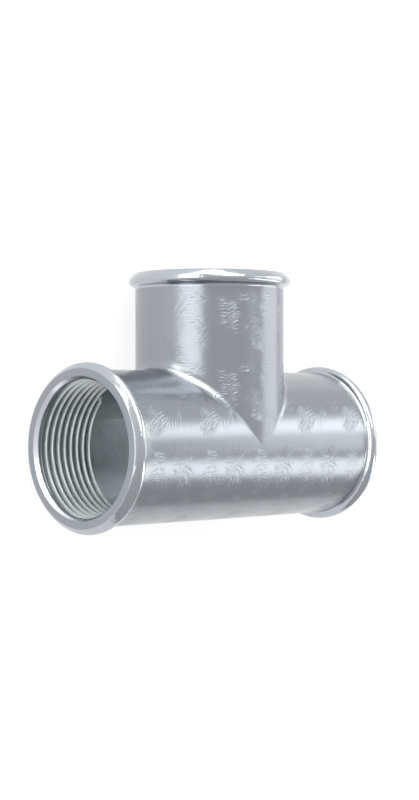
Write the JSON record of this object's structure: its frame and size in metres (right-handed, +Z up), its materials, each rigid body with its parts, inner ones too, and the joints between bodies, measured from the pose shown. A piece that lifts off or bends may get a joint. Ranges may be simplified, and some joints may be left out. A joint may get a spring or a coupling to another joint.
{
  "type": "malleable iron pipe tee",
  "caption": "Cast pipe tee with a straight run and a side branch of the same bore, a rounded bead round every internally threaded mouth, and a filleted crotch.",
  "frame": {"origin": "on the ground under the middle of the part's box, as it lies on its side on its beads", "axes": "+X along the run, +Y out of the branch's mouth, +Z up, square to the plane of the axes"},
  "size_m": [0.104, 0.0764, 0.049],
  "materials": {
    "galvanised_iron": "hot-dip galvanised, bright and slightly streaked"
  },
  "bodies": {
    "root": {"tee_body": "galvanised_iron"}
  },
  "joints": []
}
